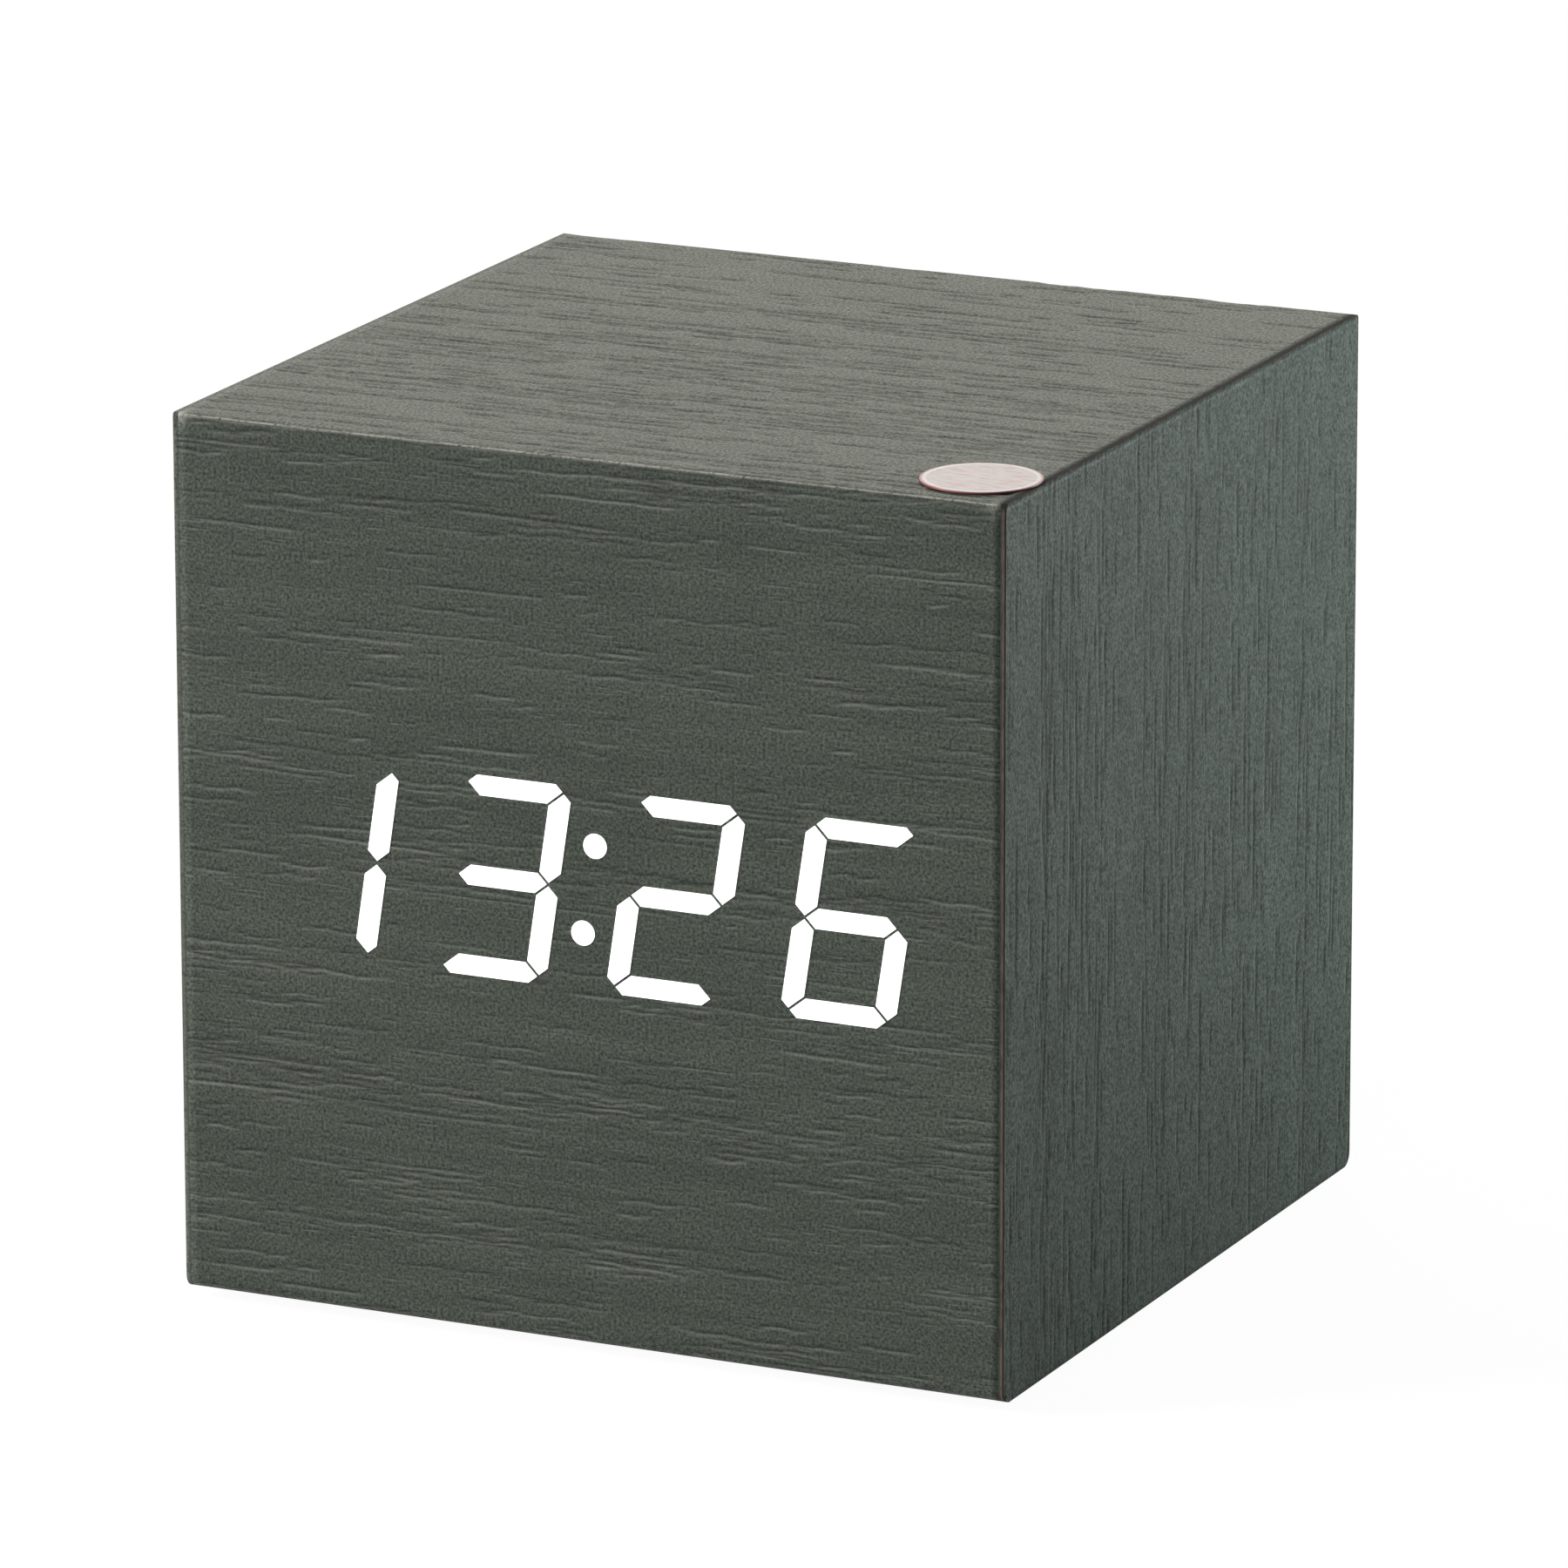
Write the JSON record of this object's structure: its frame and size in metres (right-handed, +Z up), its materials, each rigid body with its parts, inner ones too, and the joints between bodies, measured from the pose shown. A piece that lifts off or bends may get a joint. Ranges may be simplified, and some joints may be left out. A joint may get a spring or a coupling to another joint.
{
  "type": "talking clock",
  "caption": "Cube table clock in a dark wood-grain casing, digits shining through the front, touch pad on top, battery door, setting buttons and power jack at the rear.",
  "frame": {"origin": "on the floor under the middle of the casing, at the undersides of the four feet", "axes": "+X to the right across the front, +Y from the front to the rear, +Z up"},
  "size_m": [0.062, 0.0605, 0.0633],
  "materials": {
    "wood_film": "dark green-grey embossed wood-grain film, matt",
    "fibre_board": "dense fibre board, edges stained dark brown",
    "foot_rubber": "black foam rubber",
    "pad_print": "thin satin disc, pale pink with a whiter rim",
    "lit_white": "white light seen through the film",
    "black_plastic": "black, finely textured moulding",
    "button_plastic": "black, smooth moulding",
    "milky_plastic": "milky, even",
    "circuit_board": "green solder resist",
    "chip_black": "black moulded package",
    "steel_screw": "zinc-plated steel",
    "plated_steel": "nickel-plated steel",
    "cell_jacket": "plain printed jacket, bare metal ends",
    "copper_foil": "copper",
    "lead_insulation": "red and black insulation",
    "ribbon_grey": "grey flat cable",
    "capacitor_sleeve": "black sleeve",
    "microphone_can": "bare can",
    "gasket_foam": "black foam",
    "cone_paper": "black pressed paper",
    "magnet_dark": "sintered ferrite, dark grey"
  },
  "bodies": {
    "casing": {"wrap_veneer": "wood_film", "left_veneer": "wood_film", "right_veneer": "wood_film", "bottom_board": "fibre_board", "front_board": "fibre_board", "top_board": "fibre_board", "left_board": "fibre_board", "right_board": "fibre_board", "corner_blocks": "fibre_board", "feet": "foot_rubber", "talk_pad": "pad_print", "lit_segments": "lit_white", "display_shell": "black_plastic", "display_frame": "black_plastic", "rear_plate": "black_plastic", "jack_body": "black_plastic", "coin_holder": "black_plastic", "button_switches": "black_plastic", "segment_diffusers": "milky_plastic", "display_leds": "milky_plastic", "display_board": "circuit_board", "main_board": "circuit_board", "button_board": "circuit_board", "speaker_tabs": "circuit_board", "clock_chip": "chip_black", "voice_chip": "chip_black", "chip_parts": "chip_black", "display_screws": "steel_screw", "rear_screws": "steel_screw", "board_screws": "steel_screw", "battery_springs": "plated_steel", "terminal_plates": "plated_steel", "bridge_plates": "plated_steel", "jack_barrel": "plated_steel", "jack_pin": "plated_steel", "coin_cell": "plated_steel", "crystal": "plated_steel", "speaker_frame": "plated_steel", "battery_cells": "cell_jacket", "touch_foil": "copper_foil", "touch_lead": "lead_insulation", "battery_leads": "lead_insulation", "jack_leads": "lead_insulation", "speaker_leads": "lead_insulation", "display_ribbon": "ribbon_grey", "button_ribbon": "ribbon_grey", "capacitors": "capacitor_sleeve", "microphone": "microphone_can", "speaker_gasket": "gasket_foam", "speaker_cone": "cone_paper", "speaker_magnet": "magnet_dark"},
    "set_key": {"set_button": "button_plastic", "set_plunger": "button_plastic"},
    "up_key": {"up_button": "button_plastic", "up_plunger": "button_plastic"},
    "down_key": {"down_button": "button_plastic", "down_plunger": "button_plastic"},
    "door": {"battery_door": "black_plastic"}
  },
  "joints": [
    {"name": "set_button_press", "type": "slide", "parent": "casing", "child": "set_key", "axis": [0, -1, 0], "range_m": [0, 0.0005], "stiffness_N_per_m": 800, "springref_m": -0.0006},
    {"name": "up_button_press", "type": "slide", "parent": "casing", "child": "up_key", "axis": [0, -1, 0], "range_m": [0, 0.0005], "stiffness_N_per_m": 800, "springref_m": -0.0006},
    {"name": "down_button_press", "type": "slide", "parent": "casing", "child": "down_key", "axis": [0, -1, 0], "range_m": [0, 0.0005], "stiffness_N_per_m": 800, "springref_m": -0.0006},
    {"name": "battery_door_tilt", "type": "hinge", "parent": "casing", "child": "door", "pos_m": [0, 0.02875, 0.00765], "axis": [-1, 0, 0], "range_deg": [0, 80]}
  ]
}
